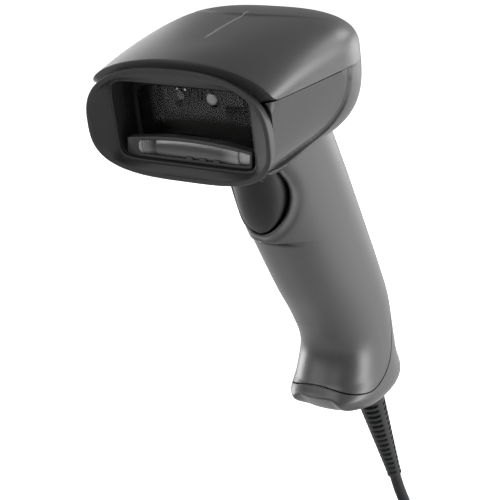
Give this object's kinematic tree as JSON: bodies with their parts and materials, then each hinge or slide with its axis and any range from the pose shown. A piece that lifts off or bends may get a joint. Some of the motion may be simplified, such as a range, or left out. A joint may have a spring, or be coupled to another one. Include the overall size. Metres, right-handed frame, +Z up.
{
  "type": "handheld barcode imager",
  "caption": "Handheld corded barcode imager with a pistol grip: scan window in a wide nose, finger trigger under it, ribbed strain relief and a coiled data cord with a flat plug.",
  "frame": {"origin": "middle of the hand grip, on the leaning handle's axis", "axes": "+Z up with the head level, -Y the way the nose looks, +X to the right of someone who faces the nose's back"},
  "size_m": [0.079, 0.1164, 0.3299],
  "materials": {
    "cover_grey": "fine satin moulding",
    "grip_grey": "satin moulding",
    "bezel_grey": "satin moulding, darker",
    "trigger_grey": "satin moulding, darker",
    "optic_black": "dead black",
    "clear_glass": "clear",
    "clear_plastic": "clear moulding",
    "diffuser_grey": "milky light guide",
    "led_white": "white",
    "board_green": "green solder mask",
    "chip_black": "black moulding",
    "steel": "bright",
    "flex_amber": "amber film",
    "cord_slate": "dark slate sheath",
    "rubber_black": "matte"
  },
  "bodies": {
    "scanner": {"top_cover": "cover_grey", "head_housing": "grip_grey", "nose_bezel": "bezel_grey", "grip_shell": "grip_grey", "rear_shell": "grip_grey", "trigger_pin": "steel", "trigger_spring": "steel", "status_light": "diffuser_grey", "exit_window": "clear_glass", "optics_shroud": "optic_black", "light_bar": "diffuser_grey", "light_bar_frame": "bezel_grey", "led_board": "board_green", "illumination_led_left": "led_white", "illumination_led_right": "led_white", "engine_housing": "chip_black", "camera_barrel": "optic_black", "camera_lens": "clear_glass", "aimer_lens": "led_white", "imager_board": "board_green", "image_sensor": "chip_black", "imager_flex": "flex_amber", "main_board": "board_green", "board_screw_1": "steel", "board_screw_2": "steel", "board_screw_3": "steel", "board_screw_4": "steel", "shield_can": "steel", "beeper": "chip_black", "handle_board": "board_green", "board_link": "flex_amber", "switch_body": "chip_black", "cable_jack": "chip_black", "cable_plug": "clear_plastic", "base_foot": "rubber_black", "base_screw_1": "steel", "base_screw_2": "steel", "strain_relief": "cord_slate", "cord_lead": "cord_slate", "cord_coil": "cord_slate", "coil_tie": "rubber_black", "usb_grip": "cord_slate", "usb_shell": "steel", "usb_tongue": "chip_black"},
    "trigger": {"trigger": "trigger_grey"},
    "plunger": {"switch_plunger": "led_white"}
  },
  "joints": [
    {"name": "trigger_hinge", "type": "hinge", "parent": "scanner", "child": "trigger", "pos_m": [0, -0.034, 0.0555], "axis": [1, 0, 0], "range_deg": [0, 4.6]},
    {"name": "plunger_slide", "type": "slide", "parent": "scanner", "child": "plunger", "axis": [0, 0.9449, 0.3272], "range_m": [0, 0.0014]}
  ],
  "couplings": [
    {"joint": "plunger_slide", "follows": "trigger_hinge", "m_per_rad": 0.01657}
  ]
}
